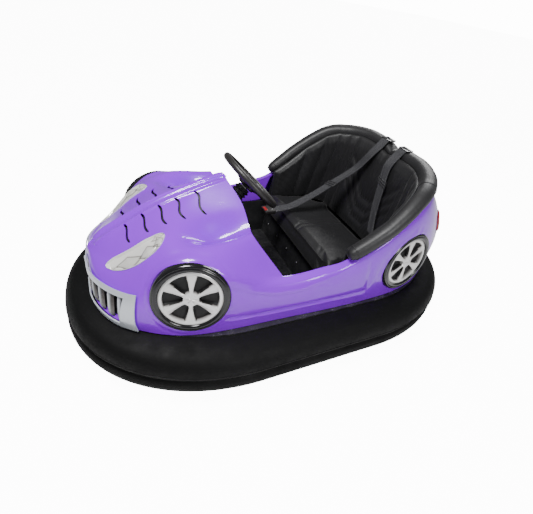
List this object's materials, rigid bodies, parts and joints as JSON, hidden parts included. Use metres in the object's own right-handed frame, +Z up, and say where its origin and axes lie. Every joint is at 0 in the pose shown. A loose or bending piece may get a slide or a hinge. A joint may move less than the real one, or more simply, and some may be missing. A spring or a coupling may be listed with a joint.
{
  "type": "bumper car",
  "caption": "Battery bumper car: moulded sports-car body on a rubber-ringed chassis, bench seat, steering column, driven swivel wheel in front and free wheels behind.",
  "frame": {"origin": "centre of the outline on the floor, below the middle of the car", "axes": "+Z up, the nose points to -Y, +X to the car's left side"},
  "size_m": [1.145, 1.945, 0.817],
  "materials": {
    "cast_alloy": "satin",
    "gloss_black": "gloss",
    "lead_battery": "matte",
    "leather_black": "satin",
    "liner_black": "matte",
    "red_lens": "gloss",
    "rubber_black": "satin",
    "silver_paint": "gloss",
    "steel_bright": "satin",
    "steel_painted": "satin",
    "tyre_black": "matte",
    "violet_gelcoat": "gloss",
    "webbing_black": "matte"
  },
  "bodies": {
    "chassis": {"battery_left": "lead_battery", "battery_right": "lead_battery", "belt_buckle": "webbing_black", "belt_left": "webbing_black", "belt_right": "webbing_black", "body_shell": "violet_gelcoat", "bumper_band": "steel_painted", "cockpit_tub": "liner_black", "column_bellows": "rubber_black", "dash_panel": "liner_black", "disc_front_left_rim": "silver_paint", "disc_front_left_tyre": "gloss_black", "disc_front_right_rim": "silver_paint", "disc_front_right_tyre": "gloss_black", "disc_rear_left_rim": "silver_paint", "disc_rear_left_tyre": "gloss_black", "disc_rear_right_rim": "silver_paint", "disc_rear_right_tyre": "gloss_black", "drive_pedal": "steel_painted", "floor_plate": "steel_painted", "gearbox_spacer": "steel_painted", "grille": "silver_paint", "headlight_left": "silver_paint", "headlight_right": "silver_paint", "pedal_base": "liner_black", "rear_axle": "steel_bright", "rear_left_hanger": "steel_painted", "rear_right_hanger": "steel_painted", "rubber_bumper": "rubber_black", "seat_back": "leather_black", "seat_cushion": "leather_black", "seat_rim": "leather_black", "steering_gearbox": "steel_painted", "swivel_bridge": "steel_painted", "tail_light_left": "red_lens", "tail_light_right": "red_lens"},
    "swivel": {"swivel_fork": "steel_painted", "drive_spindle": "steel_bright", "drive_motor": "steel_painted", "kingpin": "steel_bright"},
    "drive_wheel": {"drive_hub": "cast_alloy", "drive_tyre": "tyre_black"},
    "rear_left_wheel": {"rear_left_hub": "cast_alloy", "rear_left_tyre": "tyre_black"},
    "rear_right_wheel": {"rear_right_hub": "cast_alloy", "rear_right_tyre": "tyre_black"},
    "steering": {"steering_wheel": "gloss_black", "steering_shaft": "steel_bright"}
  },
  "joints": [
    {"name": "drive_swivel", "type": "hinge", "parent": "chassis", "child": "swivel", "pos_m": [0, -0.56, 0.2188], "axis": [0, 0, 1], "continuous": true},
    {"name": "drive_wheel_spin", "type": "hinge", "parent": "swivel", "child": "drive_wheel", "pos_m": [0, -0.56, 0.092], "axis": [1, 0, 0], "continuous": true},
    {"name": "rear_left_wheel_spin", "type": "hinge", "parent": "chassis", "child": "rear_left_wheel", "pos_m": [0.285, 0.56, 0.1], "axis": [1, 0, 0], "continuous": true},
    {"name": "rear_right_wheel_spin", "type": "hinge", "parent": "chassis", "child": "rear_right_wheel", "pos_m": [-0.285, 0.56, 0.1], "axis": [1, 0, 0], "continuous": true},
    {"name": "steering_wheel_turn", "type": "hinge", "parent": "chassis", "child": "steering", "pos_m": [0, -0.193, 0.671], "axis": [0, 0.682, 0.7314], "continuous": true}
  ],
  "couplings": [
    {"joint": "steering_wheel_turn", "follows": "drive_swivel", "ratio": 1}
  ]
}
